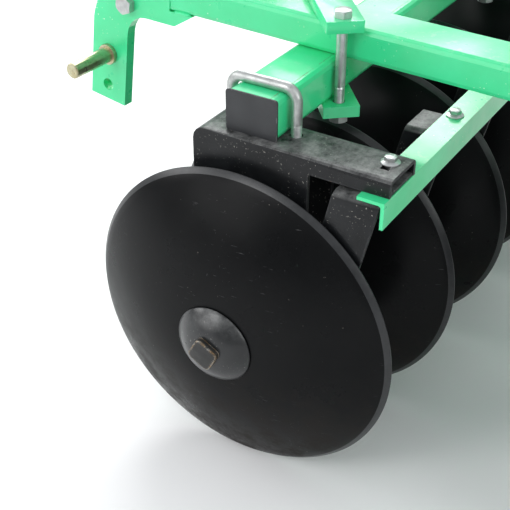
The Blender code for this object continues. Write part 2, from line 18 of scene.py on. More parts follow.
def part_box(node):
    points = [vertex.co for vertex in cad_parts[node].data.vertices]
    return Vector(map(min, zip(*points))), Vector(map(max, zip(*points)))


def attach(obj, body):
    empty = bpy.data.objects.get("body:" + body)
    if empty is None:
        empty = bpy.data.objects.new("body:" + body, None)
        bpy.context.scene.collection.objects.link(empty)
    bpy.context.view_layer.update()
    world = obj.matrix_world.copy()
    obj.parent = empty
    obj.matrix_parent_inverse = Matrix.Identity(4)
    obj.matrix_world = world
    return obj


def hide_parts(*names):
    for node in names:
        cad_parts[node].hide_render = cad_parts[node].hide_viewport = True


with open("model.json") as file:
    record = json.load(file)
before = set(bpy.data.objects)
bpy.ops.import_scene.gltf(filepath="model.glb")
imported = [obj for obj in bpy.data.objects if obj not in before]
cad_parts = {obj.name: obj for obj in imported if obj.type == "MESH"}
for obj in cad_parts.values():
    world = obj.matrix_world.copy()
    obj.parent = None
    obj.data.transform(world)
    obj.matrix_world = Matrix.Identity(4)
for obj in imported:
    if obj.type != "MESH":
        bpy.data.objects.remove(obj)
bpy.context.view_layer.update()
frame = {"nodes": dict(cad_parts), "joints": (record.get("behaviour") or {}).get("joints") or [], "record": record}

scene = bpy.context.scene
print("nodes loaded:", len(frame["nodes"]))

# %% [markdown]
# ## Working in a gang's own frame
# Each gang is swung a few degrees under the rails, so nothing on it is square to the world. Its joint
# gives the axle's middle and direction. From those two comes one matrix that lets every later step
# think in plain terms: X along the axle, Y to the rear, Z up from the axle. The rear gang is a mirror
# image, which is a change of sign on X.

# %% The gangs' frames
GANGS = {}
for joint in frame["joints"]:
    name = joint["name"].replace("_gang_roll", "")
    axis = Vector(joint["axis"])
    turn = Matrix.Rotation(math.atan2(axis.y, axis.x), 4, "Z")
    hand = 1 if name == "front" else -1
    GANGS[name] = Matrix.Translation(joint["pos_m"]) @ turn @ Matrix.Diagonal((hand, 1, 1, 1))
print("gangs:", sorted(GANGS))


def local_box(node, gang):
    """Lowest and highest corner of a node, measured in its gang's frame."""
    back = GANGS[gang].inverted()
    corners = [back @ v.co for v in frame["nodes"][node].data.vertices]
    low = Vector([min(c[i] for c in corners) for i in range(3)])
    return low, Vector([max(c[i] for c in corners) for i in range(3)])


rim_low, rim_high = local_box("front_disc_1", "front")
next_low, _ = local_box("front_disc_2", "front")
DISC_R = rim_high.z
PITCH = rim_low.x - next_low.x
DISC_COUNT = sum(1 for n in frame["nodes"] if n.startswith("front_disc_"))
print(f"disc radius {DISC_R:.3f} m, pitch {PITCH:.4f} m, {DISC_COUNT} on a gang")

# %% [markdown]
# ## Materials
# A painted machine part is never one flat colour. Three things make it real, and each is one small
# group of nodes: a soft unevenness in gloss, fine orange-peel bump from spraying, and wear that starts
# on edges. The edge finder compares the true normal with a rounded one from a Bevel node: they differ
# only near an edge, so the difference is a mask. It works from the surface alone, whatever the view.

# %% Node helpers


class Nodes:
    """A small writer for one material's node tree."""

    def __init__(self, name, rough, metal=0.0, specular=0.5):
        self.material = bpy.data.materials.new(name)
        self.material.use_nodes = True
        self.tree = self.material.node_tree
        self.shader = self.tree.nodes["Principled BSDF"]
        self.shader.inputs["Roughness"].default_value = rough
        self.shader.inputs["Metallic"].default_value = metal
        self.shader.inputs["Specular IOR Level"].default_value = specular
        self.place = self.add("ShaderNodeNewGeometry").outputs["Position"]

    def add(self, kind, **values):
        node = self.tree.nodes.new(kind)
        for key, value in values.items():
            if hasattr(node, key):
                setattr(node, key, value)
            else:
                node.inputs[key.replace("_", " ")].default_value = value
        return node

    def link(self, source, target):
        self.tree.links.new(source, target)

    def noise(self, scale, detail=3.0, rough=0.55, stretch=None):
        """Noise in metres: scale is about the number of features to a metre."""
        node = self.add("ShaderNodeTexNoise", Scale=scale, Detail=detail, Roughness=rough)
        where = self.place
        if stretch:
            mapping = self.add("ShaderNodeMapping", vector_type="POINT")
            mapping.inputs["Scale"].default_value = stretch
            self.link(self.place, mapping.inputs["Vector"])
            where = mapping.outputs[0]
        self.link(where, node.inputs["Vector"])
        return node.outputs["Fac"]

    def ramp(self, source, low, high, start=0.0, end=1.0):
        """Spread a stretch of values to the range start to end."""
        node = self.add("ShaderNodeMapRange", clamp=True)
        for key, value in (("From Min", low), ("From Max", high), ("To Min", start), ("To Max", end)):
            node.inputs[key].default_value = value
        self.link(source, node.inputs["Value"])
        return node.outputs["Result"]

    def maths(self, operation, a, b):
        node = self.add("ShaderNodeMath", operation=operation)
        for socket, value in zip(node.inputs, (a, b)):
            if isinstance(value, (int, float)):
                socket.default_value = value
            else:
                self.link(value, socket)
        return node.outputs[0]

    def mix(self, fac, a, b):
        """Mix two colours, each a socket or three numbers."""
        node = self.add("ShaderNodeMix", data_type="RGBA")
        self.link(fac, node.inputs["Factor"])
        for socket, value in ((node.inputs[6], a), (node.inputs[7], b)):
            if isinstance(value, tuple):
                socket.default_value = (*value, 1.0)
            else:
                self.link(value, socket)
        return node.outputs[2]

    def edges(self, radius):
        """Mask that is 1 on edges and 0 on flats."""
        bevel = self.add("ShaderNodeBevel", samples=4)
        bevel.inputs["Radius"].default_value = radius
        geometry = self.add("ShaderNodeNewGeometry")
        dot = self.add("ShaderNodeVectorMath", operation="DOT_PRODUCT")
        self.link(bevel.outputs[0], dot.inputs[0])
        self.link(geometry.outputs["Normal"], dot.inputs[1])
        return self.ramp(dot.outputs["Value"], 0.995, 0.90)

    def facing_up(self):
        """Mask of the upward faces, where dust settles and where a painted sheen of the sky is mixed in."""
        geometry = self.add("ShaderNodeNewGeometry")
        split = self.add("ShaderNodeSeparateXYZ")
        self.link(geometry.outputs["Normal"], split.inputs[0])
        return self.ramp(split.outputs["Z"], 0.3, 0.95)

    def bump(self, height, strength, distance):
        """Relief in the shading: distance is how deep the height's full range would be."""
        node = self.add("ShaderNodeBump", Strength=strength, Distance=distance)
        self.link(height, node.inputs["Height"])
        self.link(node.outputs[0], self.shader.inputs["Normal"])

    def colour(self, source):
        self.link(source, self.shader.inputs["Base Color"])

    def rough(self, source):
        self.link(source, self.shader.inputs["Roughness"])


# %% [markdown]
# ### Green frame paint
# The frame is sprayed with a thick gloss paint in a clear spring green. On the real machine it shows
# faint cloudiness, tiny specks where dirt fell in the wet paint, and pale chips along the corners.
# Noise at three sizes gives those, and a thin clear coat gives the sharp sky reflection on the tops.

# %% Green paint


def green_paint():
    n = Nodes("green_paint", 0.3)
    cloud = n.ramp(n.noise(14, 4), 0.3, 0.7)
    base = n.mix(cloud, (0.038, 0.690, 0.275), (0.048, 0.765, 0.330))
    specks = n.ramp(n.noise(420, 2, 0.5), 0.74, 0.80)
    base = n.mix(n.maths("MULTIPLY", specks, 0.35), base, (0.010, 0.24, 0.08))
    chips = n.maths("MULTIPLY", n.edges(0.0016), n.ramp(n.noise(150, 5, 0.7), 0.56, 0.64))
    base = n.mix(n.maths("MULTIPLY", chips, 0.75), base, (0.035, 0.16, 0.07))
    # Upward faces are mixed towards a pale mint. This is partly settled dust and partly a painted sky sheen on the
    # tops.
    dust_and_sheen = n.maths("MULTIPLY", n.facing_up(), n.ramp(n.noise(60, 5, 0.65), 0.56, 0.75))
    base = n.mix(n.maths("MULTIPLY", dust_and_sheen, 0.22), base, (0.52, 0.80, 0.58))
    grit = n.maths("MULTIPLY", n.ramp(n.noise(300, 1, 0.4), 0.735, 0.76), n.ramp(n.noise(16, 3), 0.50, 0.60))
    base = n.mix(n.maths("MULTIPLY", grit, 0.7), base, (0.80, 0.86, 0.80))
    n.colour(base)
    n.rough(n.ramp(n.noise(35, 4), 0.3, 0.7, 0.27, 0.40))
    n.shader.inputs["Coat Weight"].default_value = 0.45
    n.shader.inputs["Coat Roughness"].default_value = 0.16
    peel = n.maths("ADD", n.noise(260, 2), n.maths("MULTIPLY", chips, -1.2))
    n.bump(peel, 0.16, 0.0008)
    return n.material


GREEN = green_paint()
print("made", GREEN.name)

# %% [markdown]
# ### Black gang paint
# The brackets, bearings and scrapers wear a thinner black. It is chipped through at the bends, where
# the bare steel has started to rust, and pale soil specks stick to it. The specks are a second, finer
# noise, cut hard so that only its peaks show. The broad patches change gloss more than colour. The
# end washers are dipped and not sprayed, so they get the same paint with a clear coat over it.

# %% Black paint


def black_paint(name, tint, chip_amount, speck_amount, coat=0.0):
    n = Nodes(name, 0.36, 0.0, 0.28)
    cloud = n.ramp(n.noise(22, 5, 0.6), 0.35, 0.7)
    base = n.mix(cloud, tint, tuple(c * 1.9 for c in tint))
    rub = n.maths("MULTIPLY", n.edges(0.004), n.ramp(n.noise(55, 6, 0.65), 0.36, 0.72))
    base = n.mix(n.maths("MULTIPLY", rub, 0.55), base, (0.105, 0.108, 0.115))
    chips = n.maths("MULTIPLY", n.edges(0.0022), n.ramp(n.noise(190, 6, 0.75), 0.60, 0.66))
    rust = n.mix(n.ramp(n.noise(90, 3), 0.45, 0.6), (0.34, 0.30, 0.25), (0.23, 0.115, 0.05))
    base = n.mix(n.maths("MULTIPLY", chips, chip_amount), base, rust)
    specks = n.ramp(n.noise(270, 2, 0.55), 0.665, 0.70)
    patches = n.ramp(n.noise(17, 3, 0.6), 0.42, 0.60)
    specks = n.maths("MULTIPLY", specks, patches)
    base = n.mix(n.maths("MULTIPLY", specks, speck_amount), base, (0.33, 0.32, 0.29))
    # Upward faces are mixed strongly towards pale grey. This is partly settled dust and partly a painted sky sheen
    # that lightens the tops.
    dust_and_sheen = n.maths("MULTIPLY", n.facing_up(), n.ramp(n.noise(48, 6, 0.7), 0.34, 0.74))
    base = n.mix(n.maths("MULTIPLY", dust_and_sheen, 0.70), base, (0.32, 0.325, 0.32))
    n.colour(base)
    n.rough(n.ramp(n.noise(28, 6, 0.65), 0.3, 0.7, 0.26, 0.48))
    n.shader.inputs["Coat Weight"].default_value = coat
    n.shader.inputs["Coat Roughness"].default_value = 0.3
    n.bump(n.maths("SUBTRACT", n.noise(200, 4), n.maths("MULTIPLY", chips, 0.9)), 0.30, 0.0010)
    return n.material


BLACK_TINT = (0.0052, 0.0058, 0.0066)
BLACK = black_paint("black_paint", BLACK_TINT, 0.85, 0.85)
GLOSS_BLACK = black_paint("gloss_black", BLACK_TINT, 0.5, 0.5, 0.6)
print("made", BLACK.name, "and", GLOSS_BLACK.name)

# %% [markdown]
# ### Disc steel
# A new disc is hard rolled steel under a thin black coat. It is smooth, so it mirrors the sky at the top
# and the ground at the bottom, and it carries fine hair scratches from handling. Low down, a painted
# reflection of the ground is mixed into the colour as a mottled grey-brown. Scratches are noise
# stretched a hundred times in one direction. They brighten the colour a little and cut the gloss.
# The ground edge is a separate finish: a little paler and glossier, with turning marks and nicks.

# %% Disc steel and ground edge


def disc_steel():
    n = Nodes("disc_steel", 0.3, 0.0, 0.10)
    cloud = n.ramp(n.noise(7, 6, 0.6), 0.35, 0.7)
    base = n.mix(cloud, (0.0036, 0.0039, 0.0043), (0.0064, 0.0066, 0.0069))
    scratch_a = n.ramp(n.noise(9, 2, 0.5, (1, 5, 70)), 0.715, 0.735)
    scratch_b = n.ramp(n.noise(8, 2, 0.5, (1, 60, 14)), 0.735, 0.75)
    scratches = n.maths("MULTIPLY", n.maths("ADD", scratch_a, scratch_b), n.ramp(n.noise(11, 3), 0.5, 0.62))
    base = n.mix(n.maths("MULTIPLY", scratches, 0.35), base, (0.16, 0.16, 0.165))
    specks = n.maths("MULTIPLY", n.ramp(n.noise(230, 2, 0.5), 0.755, 0.775), n.ramp(n.noise(9, 2), 0.5, 0.6))
    base = n.mix(n.maths("MULTIPLY", specks, 0.6), base, (0.30, 0.28, 0.25))
    # Painted reflection: towards the floor the colour is mixed with a mottled grey-brown that stands in for the
    # ground mirrored low on the disc. The gloss is also cut there.
    height = n.add("ShaderNodeSeparateXYZ")
    n.link(n.place, height.inputs[0])
    low = n.ramp(height.outputs["Z"], 0.26, 0.02)
    painted_ground_reflection = n.maths("MULTIPLY", low, n.ramp(n.noise(24, 8, 0.75), 0.42, 0.60))
    base = n.mix(n.maths("MULTIPLY", painted_ground_reflection, 0.6), base, (0.022, 0.0165, 0.0115))
    n.colour(base)
    n.rough(n.maths("ADD", n.ramp(n.noise(12, 5), 0.3, 0.7, 0.25, 0.36), n.maths("MULTIPLY", painted_ground_reflection, 0.22)))
    n.bump(n.maths("ADD", n.noise(130, 3), n.maths("MULTIPLY", scratches, -0.5)), 0.08, 0.0008)
    return n.material


def ground_edge():
    n = Nodes("ground_edge", 0.34, 0.0, 0.55)
    streak = n.ramp(n.noise(90, 4, 0.6), 0.3, 0.7)
    base = n.mix(streak, (0.010, 0.0108, 0.0120), (0.020, 0.0215, 0.0235))
    nicks = n.ramp(n.noise(170, 5, 0.7), 0.66, 0.70)
    n.colour(n.mix(n.maths("MULTIPLY", nicks, 0.6), base, (0.05, 0.05, 0.05)))
    n.bump(n.noise(300, 2), 0.15, 0.0006)
    return n.material


DISC_STEEL = disc_steel()
GROUND_EDGE = ground_edge()
print("made", DISC_STEEL.name, "and", GROUND_EDGE.name)

# %% [markdown]
# ### Plated steel and plastic
# U-bolts and bolts are zinc plated: pale grey, soft in gloss, blotched where the plating has dulled.
# The link pins have a yellow passivation that goes from straw to a faint green. The tube caps are
# moulded black plastic with a fine grain and handling marks.

# %% Plated steel and plastic


def plated(name, tones, rough, metal):
    n = Nodes(name, rough[0], metal)
    blotch = n.ramp(n.noise(70, 6, 0.65), 0.35, 0.65)
    base = n.mix(blotch, tones[0], tones[1])
    stain = n.ramp(n.noise(120, 5, 0.7), 0.60, 0.70)
    n.colour(n.mix(n.maths("MULTIPLY", stain, 0.55), base, tones[2]))
    n.rough(n.ramp(n.noise(95, 5, 0.6), 0.3, 0.7, *rough))
    n.bump(n.noise(420, 3), 0.12, 0.0005)
    return n.material


ZINC = plated("zinc", ((0.40, 0.41, 0.405), (0.56, 0.57, 0.56), (0.27, 0.265, 0.245)), (0.30, 0.50), 0.75)
YELLOW_ZINC = plated("yellow_zinc", ((0.42, 0.37, 0.22), (0.50, 0.49, 0.35), (0.33, 0.21, 0.07)),
                     (0.22, 0.40), 0.9)
BRIGHT = plated("bright_zinc", ((0.50, 0.51, 0.51), (0.64, 0.65, 0.65), (0.33, 0.33, 0.31)),
                (0.26, 0.40), 0.8)


def worn_head():
    """Forged head: dark in the middle, rubbed to bare and rusty steel on every corner."""
    n = Nodes("worn_head", 0.45)
    base = n.mix(n.ramp(n.noise(60, 5), 0.35, 0.65), (0.006, 0.006, 0.0065), (0.014, 0.0135, 0.0125))
    rust = n.mix(n.ramp(n.noise(85, 3), 0.42, 0.60), (0.56, 0.53, 0.47), (0.42, 0.25, 0.09))
    wear = n.maths("MULTIPLY", n.edges(0.0045), n.ramp(n.noise(210, 5, 0.7), 0.34, 0.52))
    n.colour(n.mix(wear, base, rust))
    n.rough(n.ramp(n.noise(80, 4), 0.3, 0.7, 0.35, 0.55))
    n.bump(n.noise(260, 4), 0.30, 0.0008)
    return n.material


BARE_NUT = worn_head()


def cap_plastic():
    n = Nodes("cap_plastic", 0.5)
    base = n.mix(n.ramp(n.noise(30, 5, 0.6), 0.35, 0.7), (0.016, 0.0175, 0.020), (0.034, 0.036, 0.039))
    marks = n.maths("MULTIPLY", n.edges(0.0018), n.ramp(n.noise(140, 5), 0.5, 0.65))
    base = n.mix(n.maths("MULTIPLY", marks, 0.6), base, (0.18, 0.18, 0.18))
    pits = n.ramp(n.noise(260, 2), 0.70, 0.74)
    n.colour(n.mix(n.maths("MULTIPLY", pits, 0.5), base, (0.008, 0.008, 0.008)))
    n.rough(n.ramp(n.noise(60, 4), 0.3, 0.7, 0.42, 0.60))
    n.bump(n.noise(520, 3, 0.6), 0.25, 0.0006)
    return n.material


CAP = cap_plastic()
print("made", ZINC.name, YELLOW_ZINC.name, BRIGHT.name, BARE_NUT.name, CAP.name)

# %% [markdown]
# ## Dressing the nodes that stay
# The tubes, straps, plates and brackets already have the right shape. Real sheared and bent steel has
# no knife edge, though, and a knife edge never catches light. A Weld joins the loaded faces, and a
# narrow Bevel after it rounds every sharp edge by under a millimetre.

# %% Finishes for the carried-over nodes


def slot_of(node):
    return next(s["material_slot"] for s in frame["record"]["subparts"] if s["node"] == node)


FINISHES = {"green_paint": GREEN, "black_paint": BLACK, "disc_steel": DISC_STEEL, "zinc": ZINC,
            "yellow_zinc": YELLOW_ZINC, "cap_plastic": CAP}
EDGE_ROUND = {"green_paint": 0.0009, "black_paint": 0.0011, "cap_plastic": 0.0014, "yellow_zinc": 0.0004}


def dress(node):
    """Give a carried-over node its finish and soft edges."""
    obj = frame["nodes"][node]
    obj.data.materials.clear()
    obj.data.materials.append(FINISHES[slot_of(node)])
    weld = obj.modifiers.new("weld", "WELD")
    weld.merge_threshold = 0.00002
    bevel = obj.modifiers.new("soft_edges", "BEVEL")
    bevel.width = EDGE_ROUND.get(slot_of(node), 0.0006)
    bevel.segments = 2
    bevel.limit_method = "ANGLE"
    bevel.angle_limit = math.radians(35)
    bevel.harden_normals = True


for node in frame["nodes"]:
    dress(node)
print("dressed", len(frame["nodes"]), "nodes")

# %% [markdown]
# ## Helpers for new pieces
# New pieces are turned about X, swept along a path, or stretched between two outlines. Each helper
# returns a bmesh in the gang's or the machine's own frame, and one function turns it into an object
# that rides on its body. One more helper rounds chosen edges, as a file or a press tool would.

# %% Piece helpers


def finish_piece(name, bm, body, materials, place=Matrix.Identity(4), smooth=40):
    """Put a bmesh in place and make it a piece that moves with a body."""
    bmesh.ops.transform(bm, matrix=place, verts=bm.verts)
    bmesh.ops.recalc_face_normals(bm, faces=bm.faces)
    mesh = bpy.data.meshes.new(name)
    bm.to_mesh(mesh)
    bm.free()
    mesh.shade_smooth()
    mesh.set_sharp_from_angle(angle=math.radians(smooth))
    for material in materials:
        mesh.materials.append(material)
    obj = bpy.data.objects.new(name, mesh)
    scene.collection.objects.link(obj)
    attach(obj, body)
    return obj


def turned(profile, sides, closed=False, edge_faces=()):
    """Turn (x, radius) points about X; faces of the segments in edge_faces get material 1."""
    bm = bmesh.new()
    rings = []
    for x, radius in profile:
        count = 1 if radius == 0 else sides
        angles = [2 * math.pi * k / sides for k in range(count)]
        rings.append([bm.verts.new((x, radius * math.cos(t), radius * math.sin(t))) for t in angles])
    pairs = list(zip(rings, rings[1:]))
    if closed:
        pairs.append((rings[-1], rings[0]))
    for index, (ring, after) in enumerate(pairs):
        for k in range(sides):
            j = (k + 1) % sides
            corners = (ring[k % len(ring)], ring[j % len(ring)], after[j % len(after)], after[k % len(after)])
            face = bm.faces.new(dict.fromkeys(corners))
            face.material_index = 1 if index in edge_faces else 0
    return bm


def between(first, last):
    """Solid between two outlines that have as many points each."""
    bm = bmesh.new()
    ends = [[bm.verts.new(point) for point in outline] for outline in (first, last)]
    bm.faces.new(ends[0])
    bm.faces.new(ends[1])
    for i in range(len(first)):
        j = (i + 1) % len(first)
        bm.faces.new((ends[0][i], ends[0][j], ends[1][j], ends[1][i]))
    return bm


def extruded(outline, low, high):
    """Solid from an outline in X and Y, from height low to high."""
    return between(*([(x, y, z) for x, y in outline] for z in (low, high)))


def round_edges(bm, edges, radius, segments):
    """Round the given edges of a shape."""
    bmesh.ops.bevel(bm, geom=edges, offset=radius, segments=segments, affect="EDGES", profile=0.5)


def join(bm, other, shift=Matrix.Identity(4)):
    """Add a second shape to a piece."""
    bmesh.ops.transform(other, matrix=shift, verts=other.verts)
    mesh = bpy.data.meshes.new("joined")
    other.to_mesh(mesh)
    other.free()
    bm.from_mesh(mesh)
    bpy.data.meshes.remove(mesh)
    return bm


UPRIGHT = Matrix.Rotation(-math.pi / 2, 4, "Y")
print("helpers ready; UPRIGHT turns a shape about X into one about Z")

# %% [markdown]
# ## Discs
# A disc is a dished sheet of even thickness with a square-edged hole, ground to an edge on its outer
# face. Turning a profile makes it exactly round, with enough sides that its rim stays a true curve
# close up. The ground edge is its own band of faces, so it can have its own finish.

# %% Discs
EDGE_BAND, EDGE_TIP = 0.0072, (0.0016, 0.0002)
SHEET = 0.005
DISH_STEPS, DISH_POWER = 22, 1.9
DISC_SIDES = 180


def disc_flat_and_bore():
    """Radius where the disc's outer face starts to fall away, and the radius of its hole."""
    back = GANGS["front"].inverted()
    points = [back @ v.co for v in frame["nodes"]["front_disc_1"].data.vertices]
    flat = max(math.hypot(p.y, p.z) for p in points if p.x > rim_high.x - 0.0005)
    return flat, min(math.hypot(p.y, p.z) for p in points)


FLAT, BORE = disc_flat_and_bore()


def disc_profile(low, high):
    """Outer face from the bore to the rim, the ground edge, and the inner face back again."""
    rim, depth = low + SHEET, high - low - SHEET
    radii = [FLAT + (DISC_R - FLAT) * k / DISH_STEPS for k in range(DISH_STEPS + 1)]
    radii = [BORE, FLAT * 0.6] + radii

    def dish(r):
        share = max(0.0, (r - FLAT) / (DISC_R - FLAT))
        return depth * (1 - share ** DISH_POWER)

    kept = [r for r in radii if r < DISC_R - EDGE_BAND - 0.002] + [DISC_R - EDGE_BAND]
    outer = [(rim + dish(r), r) for r in kept]
    tip = [(rim - SHEET + x, DISC_R) for x in EDGE_TIP]
    inner = [(rim + dish(r) - SHEET, r) for r in reversed(radii[:-1])]
    return outer + tip + inner, (len(outer) - 1, len(outer))


for gang in GANGS:
    for k in range(DISC_COUNT):
        node = f"{gang}_disc_{k + 1}"
        low, high = local_box(node, gang)
        profile, edge = disc_profile(low.x, high.x)
        disc = finish_piece(f"{node}_blade", turned(profile, DISC_SIDES, True, edge), f"{gang}_gang",
                            [DISC_STEEL, GROUND_EDGE], GANGS[gang], 20)
        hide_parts(node)
print(f"discs: flat middle {FLAT:.3f} m, bore {BORE:.4f} m, {len(disc.data.polygons)} faces each")

# %% [markdown]
# ## Axle, spools and end washers
# The discs are clamped along the axle by cast spools. On the outside a domed washer spreads the load,
# and a square head, worn shiny and rusty on its corners, closes the gang. The dome's profile is a
# power curve: nearly level at its seat and falling faster towards its rim. It is turned about the
# axle. The head is a rounded square, so it is extruded and not turned.

# %% Axle, spools and end washers
axle_low, _ = local_box("front_axle", "front")
DOME_R, DOME_H, DOME_RIM, DOME_SEAT = 0.0625, 0.024, 0.0035, 0.019
DOME_STEPS, DOME_POWER = 14, 2.1
HEAD_HALF, HEAD_CORNER, HEAD_H, HEAD_TURN = 0.0202, 0.0085, 0.009, -28
SPOOL_R, SPOOL_END_R, SPOOL_LIP, SPOOL_FLARE = 0.030, 0.044, 0.004, 0.009
LAST_SPOOL, LOCK_NUT_R, LOCK_NUT_T = 0.024, 0.028, 0.020
SHAFT_SLACK = 0.0005
CLEAR = 0.0003


def rounded_square(half, radius, steps=7):
    """Outline of a square with round corners."""
    out = []
    for quarter in range(4):
        for k in range(steps + 1):
            angle = math.pi / 2 * (quarter + k / steps)
            cx = (half - radius) * (1 if quarter in (0, 3) else -1)
            cy = (half - radius) * (1 if quarter < 2 else -1)
            out.append((cx + radius * math.cos(angle), cy + radius * math.sin(angle)))
    return out


def spool_profile(start, stop):
    """A waisted casting between two discs."""
    flare = start - SPOOL_LIP
    neck = [(start, BORE), (start, SPOOL_END_R), (flare, SPOOL_END_R)]
    for k in range(1, 7):
        t = k / 6 * math.pi / 2
        neck.append((flare - SPOOL_FLARE * math.sin(t), SPOOL_R + (SPOOL_END_R - SPOOL_R) * math.cos(t)))
    mirror = [(start + stop - x, r) for x, r in reversed(neck)]
    return neck + mirror


def dome_profile(face):
    """Domed washer, thick at its rim, with a flat seat for the head."""
    points = [(face, 0), (face, DOME_R - 0.001), (face + 0.001, DOME_R), (face + DOME_RIM * 0.6, DOME_R)]
    for k in range(DOME_STEPS + 1):
        left = 1 - k / DOME_STEPS
        radius = DOME_SEAT + (DOME_R - 0.0008 - DOME_SEAT) * left
        points.append((face + DOME_RIM + (DOME_H - DOME_RIM) * (1 - left ** DOME_POWER), radius))
    return points + [(face + DOME_H, 0)]


for gang, place in GANGS.items():
    face = rim_high.x + CLEAR
    body = f"{gang}_gang"
    finish_piece(f"{gang}_end_washer", turned(dome_profile(face), 96), body, [GLOSS_BLACK], place,
                 50)
    top = face + DOME_H + HEAD_H
    head = extruded(rounded_square(HEAD_HALF, HEAD_CORNER), face + DOME_H - 0.001, top)
    bmesh.ops.rotate(head, matrix=Matrix.Rotation(math.radians(HEAD_TURN), 3, "Z"), verts=head.verts)
    round_edges(head, [e for e in head.edges if all(v.co.z > top - 0.0005 for v in e.verts)], 0.0018, 3)
    turn = Matrix.Rotation(math.pi / 2, 4, "Y")
    finish_piece(f"{gang}_axle_head", head, body, [BARE_NUT], place @ turn, 50)
    spools = bmesh.new()
    for k in range(DISC_COUNT):
        start = rim_high.x - SHEET - CLEAR - k * PITCH
        stop = start - PITCH + SHEET + 2 * CLEAR if k < DISC_COUNT - 1 else start - LAST_SPOOL
        join(spools, turned(spool_profile(start, stop), 48, True))
    shaft_r = BORE - SHAFT_SLACK
    shaft = [(rim_high.x, 0), (rim_high.x, shaft_r), (axle_low.x, shaft_r), (axle_low.x, 0)]
    join(spools, turned(shaft, 32))
    sixths = [math.pi * k / 3 for k in range(6)]
    nut = extruded([(LOCK_NUT_R * math.cos(t), LOCK_NUT_R * math.sin(t)) for t in sixths],
                   stop - LOCK_NUT_T, stop - CLEAR)
    join(spools, nut, turn)
    spools = finish_piece(f"{gang}_spools", spools, body, [BLACK], place, 35)
    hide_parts(f"{gang}_axle")
print("axles dressed with domed washers, square heads, spools and lock nuts")

# %% [markdown]
# ## Threads, bolts and nuts
# A thread at this size is seen as a fine ribbing, so a turned rod with a zigzag profile is right and
# light. A bolt head is a hexagon with its corners turned off: the hexagon is extruded, and the part
# that sticks out of a cone is cut away by lowering each corner. Flange bolts have a washer in one piece.

# %% Fasteners


THREAD_PITCH, THREAD_ROOT = 0.0024, 0.84
THREADED_SHARE = 0.28


def threaded(radius, low, high):
    """Profile points of a thread from low to high."""
    points = []
    for k in range(int((high - low) / THREAD_PITCH)):
        foot = low + k * THREAD_PITCH
        points += [(foot, radius * THREAD_ROOT), (foot + THREAD_PITCH / 2, radius)]
    return points + [(high, radius * THREAD_ROOT)]


def hexagon(radius, low, high, sides=48):
    """Hexagonal prism about Z whose top corners are lowered along a cone."""
    bm = bmesh.new()
    flat = radius * math.cos(math.pi / 6)
    rings = []
    for share, level in ((1.0, 0), (1.0, 1), (0.93, 2), (0.0, 3)):
        ring = []
        for k in range(sides if share else 1):
            angle = 2 * math.pi * k / sides
            reach = flat / math.cos((angle + math.pi / 6) % (math.pi / 3) - math.pi / 6)
            over = max(0.0, reach - flat) * 0.55
            z = (low, high - over - 0.0004, high, high)[level]
            r = reach if level < 2 else flat * share
            ring.append(bm.verts.new((r * math.cos(angle), r * math.sin(angle), z)))
        rings.append(ring)
    bm.faces.new(rings[0])
    for ring, after in zip(rings, rings[1:]):
        for k in range(sides):
            j = (k + 1) % sides
            corners = (ring[k], ring[j], after[j % len(after)], after[k % len(after)])
            bm.faces.new(dict.fromkeys(corners))
    return bm


NUT_ACROSS, NUT_HEIGHT = 1.1, 1.25


def bolt(head_r, head_h, rod_r, grip, flange, tail):
    """Bolt about Z with its seat at 0, its head above and its nut under the grip."""
    bm = hexagon(head_r, flange and 0.003, head_h)
    if flange:
        skirt = [(-0.0001, 0), (-0.0001, flange), (0.0012, flange), (0.0035, head_r * 0.96), (0.0035, 0)]
        join(bm, turned(skirt, 40), UPRIGHT)
    thread_top = -grip * (1 - THREADED_SHARE)
    end = -grip - tail
    stem = [(end, 0), (end, rod_r * 0.85)] + threaded(rod_r, end + 0.001, thread_top)
    stem += [(thread_top + 0.001, rod_r), (0.001, rod_r), (0.001, 0)]
    join(bm, turned(stem, 24), UPRIGHT)
    flip = Matrix.Translation((0, 0, -grip)) @ Matrix.Rotation(math.pi, 4, "X")
    return join(bm, hexagon(head_r * NUT_ACROSS, 0.0002, head_h * NUT_HEIGHT), flip)


print(f"fasteners ready, thread pitch {THREAD_PITCH * 1000:.1f} mm")

# %% [markdown]
# ## U-bolts
# A U-bolt is a plain round bar bent round the beam, with the last of each leg threaded. Its path is
# read off the beam, and the smooth bar is swept along it. The threaded ends are turned separately and
# start just above the bracket, with a washer and a nut under it.

# %% U-bolts
ROD = 0.008
UBOLT_BEND, UBOLT_THREAD = 0.019, 0.017
BRACKET_SHEET = 0.006
WASHER_R, WASHER_T, UBOLT_NUT_R, UBOLT_NUT_H = 0.015, 0.0025, 0.0135, 0.013


def swept(path, radius, sides=24):
    """Round bar along a path in a plane of constant X."""
    bm = bmesh.new()
    across = Vector((1, 0, 0))
    rings = []
    for i, point in enumerate(path):
        ahead = path[min(i + 1, len(path) - 1)] - path[max(i - 1, 0)]
        side = ahead.normalized().cross(across)
        angles = [2 * math.pi * k / sides for k in range(sides)]
        rings.append([bm.verts.new(point + (across * math.cos(t) + side * math.sin(t)) * radius)
                      for t in angles])
    for ring, after in zip(rings, rings[1:]):
        for k in range(sides):
            j = (k + 1) % sides
            bm.faces.new((ring[k], ring[j], after[j], after[k]))
    bm.faces.new(rings[0])
    bm.faces.new(rings[-1])
    return bm


